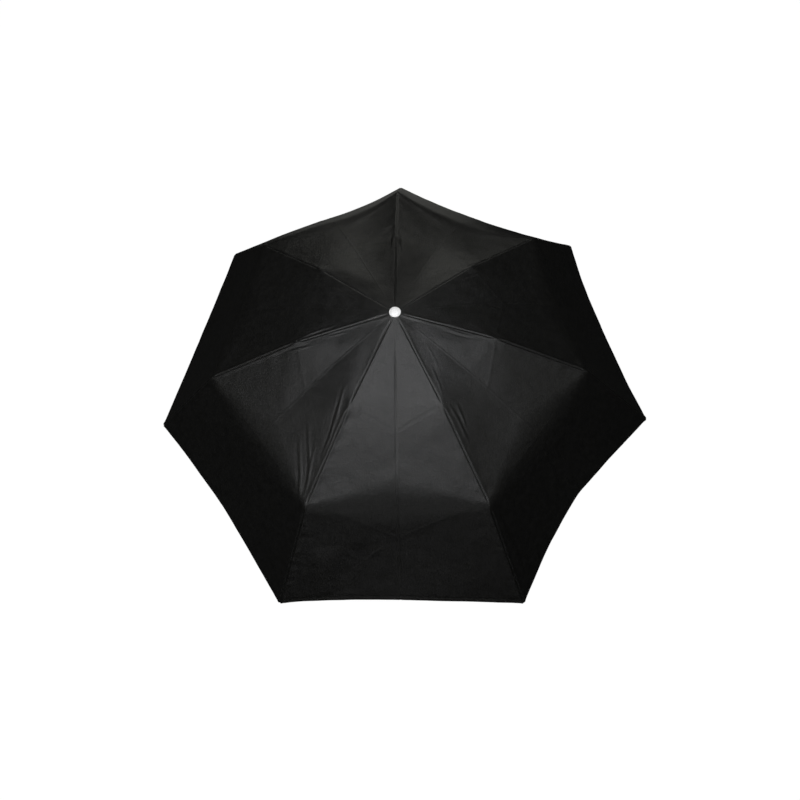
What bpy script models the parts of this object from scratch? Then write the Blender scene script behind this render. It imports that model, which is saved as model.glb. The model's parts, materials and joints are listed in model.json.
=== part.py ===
"""Folding umbrella, open: a seven-panel canopy on three-fold ribs and a telescopic shaft.

The origin is the middle of the handle's flat end and +Z runs up the shaft. Lengths are in
millimetres until a mesh is made. Rib 0 points along +Y and the rest follow clockwise from above.

Each rib is drawn in its own frame: X along the piece, Z away from the shaft's underside, and the
frame's origin on the joint the piece turns about.
"""

import math

import bpy
from mathutils import Matrix, Vector

MM = 0.001

# --- Frame: crown, ribs and stretchers -------------------------------------------------------
RIBS = 7
CROWN_Z = 562.0
CROWN_PIVOT_R = 9.0
TOP_RIB = 166.0
MID_RIB = 171.0
END_RIB = 201.0
TOP_SLOPE = 9.5
MID_SLOPE = 20.0
END_SLOPE = 47.2

# The mid rib's hinge is above both ribs, so it folds over. The end rib's is below, so it folds under.
KNEE_UP = 1.9
ELBOW_DOWN = 2.0
ELBOW_TO_ROD = 1.6

CHANNEL_HALF_WIDTH = 2.0
CHANNEL_WALL = 0.6
TOP_HALF_HEIGHT = 1.6
MID_HALF_HEIGHT = 1.4
TONGUE_HALF_WIDTH = 1.0
ROD_R = 1.05
PIN_R = 0.6
HOLE_R = 0.9

STRETCHER = 88.0
STRETCHER_AT = 84.0
STRETCHER_DOWN = 3.4
STRETCHER_HALF_WIDTH = 1.1
RUNNER_PIVOT_R = 10.0

HEEL = (-8.9, -4.4)
LINK_ON_STRETCHER = 10.0
LINK_SIDE = 2.9

# --- Canopy ----------------------------------------------------------------------------------
CLOTH_ABOVE_RIB = 4.0
CLOTH = 0.5
CLOTH_IN_R = 6.0
CLOTH_PAST_TIP = 1.0
SEAM_GAP = 0.3
HEM_RISE = 9.0

# --- Shaft and handle ------------------------------------------------------------------------
TOP_TUBE = (5.5, 5.0, 4.3, 200.0)  # outer radius, inner radius, start and end below the crown
MIDDLE_TUBE = (4.7, 4.2, 178.0, 368.0)
LOWER_TUBE = (3.9, 3.4, 346.0, 540.0)
HANDLE_TOP = 62.0
BUTTON_Z = 41.0

ROUND = 40


def mesh_of(name, points, faces):
    mesh = bpy.data.meshes.new(name)
    mesh.from_pydata([Vector(p) * MM for p in points], [], faces)
    mesh.update()
    return mesh


def thing(name, points, faces):
    obj = bpy.data.objects.new(name, mesh_of(name, points, faces))
    bpy.context.scene.collection.objects.link(obj)
    return obj


def arc(middle, radius, start, end, steps):
    """Points round a circle, from one angle in degrees to another."""
    turns = [math.radians(start + (end - start) * n / steps) for n in range(steps + 1)]
    return [(middle[0] + radius * math.cos(t), middle[1] + radius * math.sin(t)) for t in turns]


def prism(name, outline, y_low, y_high):
    """A counter-clockwise outline in X and Z, drawn out along Y."""
    count = len(outline)
    points = [(x, y_low, z) for x, z in outline] + [(x, y_high, z) for x, z in outline]
    faces = [list(range(count)), list(range(2 * count - 1, count - 1, -1))]
    faces += [[n, n + count, (n + 1) % count + count, (n + 1) % count] for n in range(count)]
    return thing(name, points, faces)


def box(name, low, high):
    outline = [(low[0], low[2]), (high[0], low[2]), (high[0], high[2]), (low[0], high[2])]
    return prism(name, outline, low[1], high[1])


def pin(name, at, radius, y_low, y_high, sides=8):
    """A short cylinder across the rib."""
    return prism(name, arc(at, radius, 22.5, 22.5 + 360 - 360 / sides, sides - 1), y_low, y_high)


def lathe(name, profile, steps=ROUND, axis="Z", at=(0.0, 0.0, 0.0)):
    """A closed (radius, height) outline turned about an axis. It runs up the outer side."""
    points, faces, rings = [], [], []
    for radius, height in profile:
        count = 1 if radius == 0 else steps
        rings.append(list(range(len(points), len(points) + count)))
        for n in range(count):
            t = 2 * math.pi * (n + 0.5) / steps
            points.append((radius * math.cos(t), radius * math.sin(t), height))
    for low, high in zip(rings, rings[1:] + rings[:1]):
        if len(low) == 1 and len(high) == 1:
            continue
        for n in range(steps):
            here, there = n % len(high), (n + 1) % len(high)
            face = [low[n % len(low)], low[(n + 1) % len(low)], high[there], high[here]]
            faces.append(list(dict.fromkeys(face)))
    turn = {
        "Z": Matrix.Identity(3),
        "X": Matrix.Rotation(math.pi / 2, 3, "Y"),
        "Y": Matrix.Rotation(-math.pi / 2, 3, "X"),
    }
    placed = [turn[axis] @ Vector(p) + Vector(at) for p in points]
    return thing(name, placed, faces)


def wire(name, path, radius, sides=8):
    """A round wire bent along a path, with mitred corners."""
    path = [Vector(p) for p in path]
    points, faces = [], []
    behind = (path[1] - path[0]).normalized()
    side = behind.orthogonal().normalized()
    for n, place in enumerate(path):
        ahead = (path[n + 1] - place).normalized() if n + 1 < len(path) else behind
        middle = (behind + ahead).normalized()
        other = behind.cross(side)
        for k in range(sides):
            t = 2 * math.pi * k / sides
            spoke = radius * (math.cos(t) * side + math.sin(t) * other)
            reach = -spoke.dot(middle) / behind.dot(middle)
            points.append(place + spoke + reach * behind)
        side = behind.rotation_difference(ahead) @ side
        behind = ahead
    for n in range(len(path) - 1):
        for k in range(sides):
            a, b = n * sides + k, n * sides + (k + 1) % sides
            faces.append([a, b, b + sides, a + sides])
    faces.append(list(range(sides - 1, -1, -1)))
    faces.append(list(range(len(points) - sides, len(points))))
    return thing(name, points, faces)


def ring(name, radius, thickness, height, steps=42, sides=6):
    """A closed ring of round wire about Z."""
    points, faces = [], []
    for n in range(steps):
        t = 2 * math.pi * (n + 0.5) / steps
        for k in range(sides):
            u = 2 * math.pi * (k + 0.5) / sides
            r = radius + thickness * math.cos(u)
            points.append((r * math.cos(t), r * math.sin(t), height + thickness * math.sin(u)))
    for n in range(steps):
        for k in range(sides):
            a, b = n * sides + k, (n + 1) % steps * sides + k
            c, d = (n + 1) % steps * sides + (k + 1) % sides, n * sides + (k + 1) % sides
            faces.append([a, b, c, d])
    return thing(name, points, faces)


def combine(obj, others, operation):
    """Joins the others to the object or cuts them out of it, then removes them."""
    for other in others:
        step = obj.modifiers.new(other.name, "BOOLEAN")
        step.operation = operation
        step.solver = "EXACT"
        step.object = other
    bpy.context.view_layer.update()
    graph = bpy.context.evaluated_depsgraph_get()
    done = bpy.data.meshes.new_from_object(obj.evaluated_get(graph))
    obj.modifiers.clear()
    obj.data = done
    for other in others:
        bpy.data.objects.remove(other)
    return obj


def cut(obj, *cutters):
    return combine(obj, cutters, "DIFFERENCE")


def join(obj, *others):
    return combine(obj, others, "UNION")


# --- Rib pieces, each in its own frame -------------------------------------------------------


def side_cuts(x_low, x_high):
    """Two blocks that thin a bar to a tongue."""
    low = box("cut_low", (x_low, -9, -20), (x_high, -TONGUE_HALF_WIDTH, 20))
    high = box("cut_high", (x_low, TONGUE_HALF_WIDTH, -20), (x_high, 9, 20))
    return low, high


def make_top_rib():
    """A channel that opens downward, with a tongue at the crown, ears for the stretcher and a fork."""
    half = TOP_HALF_HEIGHT
    inner = CHANNEL_HALF_WIDTH - CHANNEL_WALL
    knee = (TOP_RIB, KNEE_UP)
    ear = (STRETCHER_AT, -STRETCHER_DOWN)
    outline = arc((0, 0), 1.3, 90, 270, 6)
    outline += [(2.5, -1.3), (4, -half), (ear[0] - 3.4, -half)]
    outline += arc(ear, 1.7, 190, 350, 5)
    outline += [(ear[0] + 3.4, -half), (TOP_RIB - 2.5, -half)]
    outline += arc(knee, 1.7, -50, 135, 6)
    outline += [(TOP_RIB - 2.2, half), (4, half), (2.5, 1.3)]
    rib = prism("top_rib", outline, -CHANNEL_HALF_WIDTH, CHANNEL_HALF_WIDTH)
    channel = box("channel", (9, -inner, -20), (TOP_RIB + 9, inner, half - CHANNEL_WALL))
    fork = box("fork", (TOP_RIB - 12, -inner, -19), (TOP_RIB + 8, inner, 19))
    notch = box("notch", (TOP_RIB - 13.5, -9, -18), (TOP_RIB - 6, 9, 0.2))
    cut(rib, *side_cuts(-9, 6), channel)
    cut(rib, fork)
    cut(rib, notch)
    cut(rib, pin("eye", (0, 0), 0.8, -9, 9))
    cut(rib, pin("ears", ear, HOLE_R, -9, 9), pin("knee", knee, HOLE_R, -9, 9))
    return rib.data


def make_mid_rib():
    """The same channel, with a tongue and heel inboard and a fork for the end rib outboard."""
    half = MID_HALF_HEIGHT
    inner = CHANNEL_HALF_WIDTH - CHANNEL_WALL
    high, low = half - KNEE_UP, -half - KNEE_UP
    elbow = (MID_RIB, -KNEE_UP - ELBOW_DOWN)
    outline = arc(HEEL, 1.4, 116, 296, 6)
    outline += [(-1.2, -2.4), (2.2, low), (MID_RIB - 4, low)]
    outline += arc(elbow, 1.7, 190, 410, 8)
    outline += [(MID_RIB - 1, high), (3.4, high)]
    outline += arc((0, 0), 1.5, 40, 116, 3)
    rib = prism("mid_rib", outline, -CHANNEL_HALF_WIDTH, CHANNEL_HALF_WIDTH)
    channel = box("channel", (7, -inner, -20), (MID_RIB + 9, inner, high - CHANNEL_WALL))
    mouth = box("mouth", (MID_RIB - 2, -inner, -19), (MID_RIB + 8, inner, 19))
    cut(rib, *side_cuts(-19, 2.6), channel)
    cut(rib, mouth)
    cut(rib, pin("heel", HEEL, HOLE_R, -9, 9), pin("elbow", elbow, HOLE_R, -9, 9))
    return join(rib, pin("knee", (0, 0), PIN_R, -1.85, 1.85)).data


def make_end_rib():
    """A round rod with a flat tongue and its pin."""
    outline = arc((0, 0), 1.4, 110, 290, 6)
    outline += [(3, 0.2), (7, 0.9), (7, 2.3), (3, 2.4)]
    tongue = prism("end_rib", outline, -0.95, 0.95)
    rod = lathe("rod", rod_profile(ROD_R, 3.4, END_RIB - 1), 10, "X", (0, 0, ELBOW_TO_ROD))
    return join(tongue, rod, pin("elbow", (0, 0), PIN_R, -1.85, 1.85)).data


def rod_profile(radius, start, end):
    return [(0, start), (radius, start), (radius, end), (0, end)]


def make_rib_tip():
    """The moulded end that the canopy's corner is sewn to. The rod goes into its bore."""
    end = END_RIB
    profile = [(1.25, end - 9), (1.8, end - 9), (2.2, end - 7), (1.7, end - 3)]
    profile += [(2.3, end + 0.2), (1.5, end + 1.5), (0, end + 1.9), (0, end - 0.7), (1.25, end - 0.7)]
    return lathe("rib_tip", profile, 12, "X", (0, 0, ELBOW_TO_ROD)).data


def make_stretcher():
    """A narrow channel from the rib's ears to an eye in the runner."""
    outline = arc((0, 0), 1.5, 60, 300, 6) + arc((STRETCHER, 0), 1.5, -60, 60, 4)
    outline[0:1] = [(3.0, 1.3), (1.0, 1.3)]
    outline[8:9] = [(1.0, -1.3), (3.0, -1.3)]
    bar = prism("stretcher", outline, -STRETCHER_HALF_WIDTH, STRETCHER_HALF_WIDTH)
    groove = box("groove", (15, -0.65, -9), (STRETCHER - 7, 0.65, 0.65))
    eye = pin("eye", (STRETCHER, 0), 0.8, -9, 9)
    cut(bar, groove, eye, pin("link", (LINK_ON_STRETCHER, 0), 0.7, -9, 9))
    return join(bar, pin("ears", (0, 0), PIN_R, -1.85, 1.85)).data


def make_link(length):
    """A bent wire beside the top rib: its long pin turns in the mid rib's heel."""
    path = [(0, -1.2, 0), (0, LINK_SIDE, 0), (length, LINK_SIDE, 0), (length, 1.45, 0)]
    return wire("control_link", path, PIN_R).data


# --- Where the joints are in the plane of one rib: (radius, height) --------------------------


def along(start, slope, run, rise):
    """A point reached by going out along a piece that slopes down, and square to it."""
    t = math.radians(slope)
    outward = start[0] + run * math.cos(t) + rise * math.sin(t)
    return outward, start[1] - run * math.sin(t) + rise * math.cos(t)


def slope_between(start, end):
    return math.degrees(math.atan2(start[1] - end[1], end[0] - start[0]))


def rib_joints():
    crown = (CROWN_PIVOT_R, CROWN_Z)
    knee = along(crown, TOP_SLOPE, TOP_RIB, KNEE_UP)
    elbow = along(knee, MID_SLOPE, MID_RIB, -KNEE_UP - ELBOW_DOWN)
    ear = along(crown, TOP_SLOPE, STRETCHER_AT, -STRETCHER_DOWN)
    drop = math.sqrt(STRETCHER**2 - (ear[0] - RUNNER_PIVOT_R) ** 2)
    runner = (RUNNER_PIVOT_R, ear[1] - drop)
    on_stretcher = along(ear, slope_between(ear, runner), LINK_ON_STRETCHER, 0)
    heel = along(knee, MID_SLOPE, *HEEL)
    return {
        "crown": crown,
        "knee": knee,
        "elbow": elbow,
        "ear": ear,
        "runner": runner,
        "link": on_stretcher,
        "heel": heel,
    }


def station_angle(number):
    return math.pi / 2 - 2 * math.pi * number / RIBS


def seat(mesh, name, number, at, slope, material):
    """Puts one rib piece at its joint in the plane of its rib."""
    turn = Matrix.Rotation(station_angle(number), 4, "Z")
    move = Matrix.Translation((at[0] * MM, 0, at[1] * MM))
    obj = bpy.data.objects.new(f"{name}_{number}", mesh)
    obj.matrix_world = turn @ move @ Matrix.Rotation(math.radians(slope), 4, "Y")
    bpy.context.scene.collection.objects.link(obj)
    paint(obj, material)


# --- Canopy ----------------------------------------------------------------------------------


def cloth_profile(joints, height):
    """The cloth's line over a rib, at a height above the ribs' middle lines."""
    lines = [
        (along(joints["crown"], TOP_SLOPE, 0, height), TOP_SLOPE),
        (along(joints["knee"], MID_SLOPE, 0, height - KNEE_UP), MID_SLOPE),
        (along(joints["elbow"], END_SLOPE, 0, height + ELBOW_TO_ROD), END_SLOPE),
    ]
    inward = (lines[0][0][0] - CLOTH_IN_R) / math.cos(math.radians(TOP_SLOPE))
    first = along(lines[0][0], TOP_SLOPE, -inward, 0)
    last = along(joints["elbow"], END_SLOPE, END_RIB + CLOTH_PAST_TIP, height + ELBOW_TO_ROD)
    bends = [meeting(*lines[0], *lines[1]), meeting(*lines[1], *lines[2])]
    return [first, *bends, last]


def meeting(a, slope_a, b, slope_b):
    """Where two sloping lines cross."""
    fall_a, fall_b = math.tan(math.radians(slope_a)), math.tan(math.radians(slope_b))
    r = (b[1] - a[1] + b[0] * fall_b - a[0] * fall_a) / (fall_b - fall_a)
    return r, a[1] - (r - a[0]) * fall_a


def make_gore(number, joints, material):
    """One panel: three flat strips from the cap to the hem, between two ribs."""
    half = math.pi / RIBS
    rows = []
    for height in (CLOTH_ABOVE_RIB, CLOTH_ABOVE_RIB + CLOTH):
        for level, (r, z) in enumerate(cloth_profile(joints, height)):
            across = r * math.sin(half) - SEAM_GAP / 2
            steps = 6 if level == 3 else 2
            for n in range(steps + 1):
                share = 2 * n / steps - 1
                back = HEM_RISE * (1 - share**2) if level == 3 else 0
                t = math.radians(END_SLOPE)
                out = r * math.cos(half) - back * math.cos(t)
                rows.append((out, share * across, z + back * math.sin(t)))
    count = len(rows) // 2
    starts = [0, 3, 6, 9, count]
    top = []
    for level in range(3):
        low = list(range(starts[level], starts[level] + 3))
        high = list(range(starts[level + 1], starts[level + 2] if level == 2 else starts[level + 1] + 3))
        middle = len(high) // 2
        for a, b, outer in ((low[0], low[1], high[: middle + 1]), (low[1], low[2], high[middle:])):
            top.append([a, *outer, b])
    edge = [0, 3, 6, *range(9, count), 8, 5, 2, 1]
    faces = [face[::-1] for face in top] + [[p + count for p in face] for face in top]
    faces += [[a, b, b + count, a + count] for a, b in zip(edge, edge[1:] + edge[:1])]
    gore = thing(f"canopy_gore_{number}", rows, faces)
    gore.matrix_world = Matrix.Rotation(station_angle(number) - half, 4, "Z")
    paint(gore, material)


# --- Crown, runner, shaft and handle ---------------------------------------------------------


def slots(name, inner, outer, half_width, low, high):
    """Radial blocks, one for each rib."""
    found = []
    for number in range(RIBS):
        block = box(f"{name}_{number}", (inner, -half_width, low), (outer, half_width, high))
        block.data.transform(Matrix.Rotation(station_angle(number), 4, "Z"))
        found.append(block)
    return found


def make_crown():
    """A slotted disc with a plug for the tube and a boss for the cap."""
    z = CROWN_Z
    profile = [(0, z - 16), (4.8, z - 16), (4.8, z - 4), (12.5, z - 4), (12.5, z + 2), (11.5, z + 3)]
    profile += [(2.6, z + 3), (2.6, z + 7.5), (0, z + 7.5)]
    crown = lathe("crown", profile)
    cut(crown, *slots("slot", 6.9, 20, 1.3, z - 9, z + 1.8))
    return cut(crown, ring("groove", CROWN_PIVOT_R, 0.8, z, sides=8))


def make_cap():
    """A low dome that screws down over the cloth."""
    z = CROWN_Z
    profile = [(2.9, z + 5.4), (9.6, z + 5.4), (10, z + 5.9), (9.8, z + 7.2), (8.2, z + 8.7), (5.2, z + 9.7)]
    profile += [(2, z + 10.1), (0, z + 10.1), (0, z + 7.9), (2.9, z + 7.9)]
    return lathe("cap", profile)


def make_runner(joints):
    """A sleeve on the top tube with a slotted head for the stretchers and a lip to pull."""
    z = joints["runner"][1]
    profile = [(5.8, z + 3.5), (5.8, z - 26), (9.6, z - 26), (10.4, z - 25), (10.4, z - 23), (7.8, z - 20.5)]
    profile += [(7.8, z - 5), (12.5, z - 3), (12.5, z + 2.5), (11.5, z + 3.5)]
    runner = lathe("runner", profile)
    return cut(runner, *slots("slot", 8.1, 20, 1.4, z - 12, z + 9))


def make_tube(name, size):
    outer, inner, start, end = size
    low, high = CROWN_Z - end, CROWN_Z - start
    return lathe(name, [(outer, low), (outer, high), (inner, high), (inner, low)])


def make_grip():
    """A barrel with a bore for the shaft, a pocket for the button and an open lower end."""
    profile = [(0, 21.7), (4.2, 21.7), (4.2, HANDLE_TOP), (9, HANDLE_TOP)]
    profile += [(12.5, 60.8), (15, 57), (16.6, 50), (17.4, 40), (17.5, 28), (16.9, 14)]
    profile += [(15.6, 5.3), (12, 5.3), (12, 16.5), (0, 16.5)]
    grip = lathe("handle_grip", profile[::-1])
    pocket = box("pocket", (-5.3, -30, BUTTON_Z - 8.3), (5.3, -7.4, BUTTON_Z + 8.3))
    return cut(grip, pocket)


def make_end_cap():
    profile = [(0, 0), (14.2, 0), (15.4, 1.2), (15.4, 5), (11.7, 5), (11.7, 11), (0, 11)]
    return lathe("handle_end_cap", profile)


def make_button():
    """A rounded key that stands 1.5 mm out of the grip."""
    outline = []
    for x, z, start in ((3, 6, 0), (-3, 6, 90), (-3, -6, 180), (3, -6, 270)):
        outline += arc((x, BUTTON_Z + z), 2, start, start + 90, 3)
    button = prism("push_button", outline, -19, -11.6)
    return button


def make_button_spring():
    turns, steps = 4.0, 12
    path = []
    for n in range(int(turns * steps) + 1):
        t = 2 * math.pi * n / steps
        path.append((3 * math.cos(t), -11.0 + 3.0 * n / (turns * steps), BUTTON_Z + 3 * math.sin(t)))
    return wire("button_spring", path, 0.28, 5)


# --- Materials -------------------------------------------------------------------------------


def material(name, colour, metallic, roughness):
    made = bpy.data.materials.new(name)
    made.use_nodes = True
    shader = made.node_tree.nodes["Principled BSDF"]
    shader.inputs["Base Color"].default_value = (*colour, 1)
    shader.inputs["Metallic"].default_value = metallic
    shader.inputs["Roughness"].default_value = roughness
    return made


def paint(obj, made):
    if not obj.data.materials:
        obj.data.materials.append(made)


def main():
    for obj in list(bpy.data.objects):
        bpy.data.objects.remove(obj)
    cloth = material("black_pongee", (0.02, 0.02, 0.022), 0, 0.6)
    steel = material("black_steel", (0.03, 0.03, 0.03), 0.6, 0.4)
    chrome = material("bright_steel", (0.6, 0.6, 0.6), 1, 0.25)
    plastic = material("black_plastic", (0.02, 0.02, 0.02), 0, 0.45)
    silver = material("silver_cap", (0.8, 0.8, 0.8), 0.3, 0.35)
    rubber = material("handle_rubber", (0.015, 0.015, 0.015), 0, 0.75)

    joints = rib_joints()
    link_length = math.dist(joints["heel"], joints["link"])
    stretcher_slope = slope_between(joints["ear"], joints["runner"])
    link_slope = slope_between(joints["heel"], joints["link"])
    placed = [
        (make_top_rib(), "top_rib", "crown", TOP_SLOPE, steel),
        (make_mid_rib(), "mid_rib", "knee", MID_SLOPE, steel),
        (make_end_rib(), "end_rib", "elbow", END_SLOPE, steel),
        (make_rib_tip(), "rib_tip", "elbow", END_SLOPE, plastic),
        (make_stretcher(), "stretcher", "ear", stretcher_slope, steel),
        (make_link(link_length), "control_link", "heel", link_slope, steel),
    ]
    for obj in list(bpy.data.objects):
        bpy.data.objects.remove(obj)
    for mesh, name, joint, slope, made in placed:
        for number in range(RIBS):
            seat(mesh, name, number, joints[joint], slope, made)
    for number in range(RIBS):
        make_gore(number, joints, cloth)

    paint(make_crown(), plastic)
    paint(ring("crown_wire", CROWN_PIVOT_R, 0.45, CROWN_Z), chrome)
    paint(make_cap(), silver)
    paint(make_runner(joints), plastic)
    paint(make_tube("top_tube", TOP_TUBE), chrome)
    paint(make_tube("middle_tube", MIDDLE_TUBE), chrome)
    paint(make_tube("lower_tube", LOWER_TUBE), chrome)
    paint(make_grip(), rubber)
    paint(make_end_cap(), plastic)
    paint(make_button(), plastic)
    paint(make_button_spring(), chrome)


main()
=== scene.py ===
"""Folding umbrella: the looks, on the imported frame. Metres, in the frame of the CAD."""

import json
import math

import bmesh
import bpy
import numpy as np
from mathutils import Matrix, Vector, noise


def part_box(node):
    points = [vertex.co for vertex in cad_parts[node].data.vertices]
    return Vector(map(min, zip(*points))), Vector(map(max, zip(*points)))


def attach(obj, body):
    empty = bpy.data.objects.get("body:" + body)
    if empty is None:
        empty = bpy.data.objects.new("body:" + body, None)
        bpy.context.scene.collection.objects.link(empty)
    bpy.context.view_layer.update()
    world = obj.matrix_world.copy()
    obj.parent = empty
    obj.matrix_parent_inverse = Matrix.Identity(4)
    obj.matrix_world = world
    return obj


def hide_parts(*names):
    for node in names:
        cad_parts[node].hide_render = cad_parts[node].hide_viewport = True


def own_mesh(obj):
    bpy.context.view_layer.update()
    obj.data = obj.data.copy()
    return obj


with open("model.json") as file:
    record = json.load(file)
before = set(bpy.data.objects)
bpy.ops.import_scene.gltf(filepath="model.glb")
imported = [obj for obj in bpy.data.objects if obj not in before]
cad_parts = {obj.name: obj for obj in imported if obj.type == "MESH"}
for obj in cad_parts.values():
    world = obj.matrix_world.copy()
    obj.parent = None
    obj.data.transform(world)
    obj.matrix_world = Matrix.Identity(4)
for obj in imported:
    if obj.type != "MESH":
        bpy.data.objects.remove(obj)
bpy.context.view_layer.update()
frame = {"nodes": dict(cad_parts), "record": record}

RIBS = 7
BETA = math.pi / RIBS  # the angle from a rib to the middle of a panel
CROWN_Z = 0.562
CROWN_PIVOT_R = 0.009
TOP_RIB, MID_RIB, END_RIB = 0.166, 0.171, 0.201
TOP_SLOPE, MID_SLOPE, END_SLOPE = (math.radians(a) for a in (9.5, 20.0, 47.2))
KNEE_UP, ELBOW_DOWN, ELBOW_TO_ROD = 0.0019, 0.0020, 0.0016
BUTTON_Z = 0.041
GRIP_R = 0.01745  # of the handle, at the button
CLOTH_ABOVE_RIB = 0.0043
CLOTH_IN_R = 0.0045
CLOTH_PAST_TIP = 0.001
HEM_WIDTH = 0.007
FLAT_LENGTH = 1.12  # the flat length given for a strip, over its length along the rib
# Panel n runs from rib n to rib n + 1. Each: how far its hem rises in the middle and how sharply on either
# side, how far the whole panel sags inward in the middle, and how much more it sags in either half.
PANELS = (
    (0.010, (2.0, 2.0), 0.0150, (0.0010, 0.0020)),
    (0.016, (3.0, 2.4), 0.0060, (0.0, 0.0)),
    (0.038, (1.1, 1.6), 0.0025, (0.0, 0.0020)),
    (0.006, (1.0, 5.0), 0.0020, (0.0, 0.0)),
    (0.014, (1.2, 1.3), 0.0025, (0.0, 0.0)),
    (0.002, (2.0, 2.0), 0.0010, (0.0, 0.0)),
    (0.005, (2.0, 2.0), 0.0030, (-0.0030, 0.0080)),
)


# --- The line of the cloth over a rib, as (radius, height) -----------------------------------


def along(start, slope, run, rise):
    """A point run along a line that falls outward at a slope, and rise square to it."""
    return np.array(
        [
            start[0] + run * math.cos(slope) + rise * math.sin(slope),
            start[1] - run * math.sin(slope) + rise * math.cos(slope),
        ]
    )


def meeting(a, slope_a, b, slope_b):
    """Where a line through a and a line through b cross."""
    fall_a, fall_b = math.tan(slope_a), math.tan(slope_b)
    r = (b[1] - a[1] + b[0] * fall_b - a[0] * fall_a) / (fall_b - fall_a)
    return np.array([r, a[1] - (r - a[0]) * fall_a])


CROWN = np.array([CROWN_PIVOT_R, CROWN_Z])
KNEE = along(CROWN, TOP_SLOPE, TOP_RIB, KNEE_UP)
ELBOW = along(KNEE, MID_SLOPE, MID_RIB, -KNEE_UP - ELBOW_DOWN)


def rib_line(height):
    """The four corners of the cloth's line at a height above the ribs: crown, knee, elbow and tip."""
    lines = [
        (along(CROWN, TOP_SLOPE, 0, height), TOP_SLOPE),
        (along(KNEE, MID_SLOPE, 0, height - KNEE_UP), MID_SLOPE),
        (along(ELBOW, END_SLOPE, 0, height + ELBOW_TO_ROD), END_SLOPE),
    ]
    start = along(lines[0][0], TOP_SLOPE, (CLOTH_IN_R - lines[0][0][0]) / math.cos(TOP_SLOPE), 0)
    end = along(ELBOW, END_SLOPE, END_RIB + CLOTH_PAST_TIP, height + ELBOW_TO_ROD)
    return [start, meeting(*lines[0], *lines[1]), meeting(*lines[1], *lines[2]), end]


def unit(v):
    return v / np.linalg.norm(v, axis=-1, keepdims=True)


class Half:
    """Half a panel, in the plane of its rib: X out along the rib, Y across, Z up."""

    def __init__(self, side, panel):
        rise, sharpness, sag, more_sag = PANELS[panel]
        self.rise, self.sharpness = rise, sharpness[side < 0]
        self.sag, self.more_sag = sag, more_sag[side < 0]
        self.p = [np.array([q[0], 0.0, q[1]]) for q in rib_line(CLOTH_ABOVE_RIB)]
        middle = [p[0] * math.cos(BETA) for p in self.p]
        self.c = [np.array([r * math.cos(BETA), r * math.sin(BETA), p[2]]) for r, p in zip(middle, self.p)]
        self.to_hem = unit(self.c[3] - self.c[2])

    def surface(self, zone, us, bs):
        """The cloth before any wrinkle, for shares us along a zone and bs from the rib to the middle."""
        u, b = np.asarray(us)[:, None], np.asarray(bs)
        k = [self.p[n] * (1 - b)[:, None] + self.c[n] * b[:, None] for n in range(4)]
        k[3] = k[3] - self.to_hem * (self.rise * (1 - (1 - b) ** self.sharpness))[:, None]
        # How near a knee or elbow the cloth starts to bend.
        soft = [0, 0.007 + 0.098 * b, 0.006 + 0.042 * b, 0]
        length = np.linalg.norm(k[zone + 1] - k[zone], axis=-1)
        place = k[zone] + (k[zone + 1] - k[zone]) * u[..., None]
        for n, run in ((zone, u * length), (zone + 1, (1 - u) * length)):
            if n in (1, 2):
                near = np.minimum(run / soft[n], 1) / 2
                t = (0.5 + near if n == zone else 0.5 - near)[..., None]
                before = k[n] + unit(k[n - 1] - k[n]) * soft[n][:, None]
                after = k[n] + unit(k[n + 1] - k[n]) * soft[n][:, None]
                bent = (1 - t) ** 2 * before + 2 * t * (1 - t) * k[n] + t * t * after
                place = np.where((run < soft[n])[..., None], bent, place)
        return place

    def sagging(self, zone, us, bs):
        """How far the taut cloth is drawn inward between its ribs."""
        u, b = np.asarray(us)[:, None], np.asarray(bs)
        start, end = ((0.0, 0.3), (0.3, 1.0), (1.0, 0.75))[zone]
        across = self.sag * (1 - (1 - b) ** 2) + self.more_sag * 4 * b * (1 - b)
        return across * (start + (end - start) * (3 - 2 * u) * u * u)


# --- Wrinkles --------------------------------------------------------------------------------

ZONE_LENGTH = tuple(length * math.cos(BETA) for length in (TOP_RIB, MID_RIB, END_RIB))
HEART = np.array([0.0, 0.0, CROWN_Z - 0.42])  # wrinkles rise away from this point under the canopy
FOLDS = (0.148, 0.292)  # where the creases of the folded umbrella leave the rib
FOLD_LEAN = 0.44  # how far they lean outward for each metre across
PUCKER_HEIGHT = 0.62 / 1000  # metres for each unit of height in the table
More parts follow.
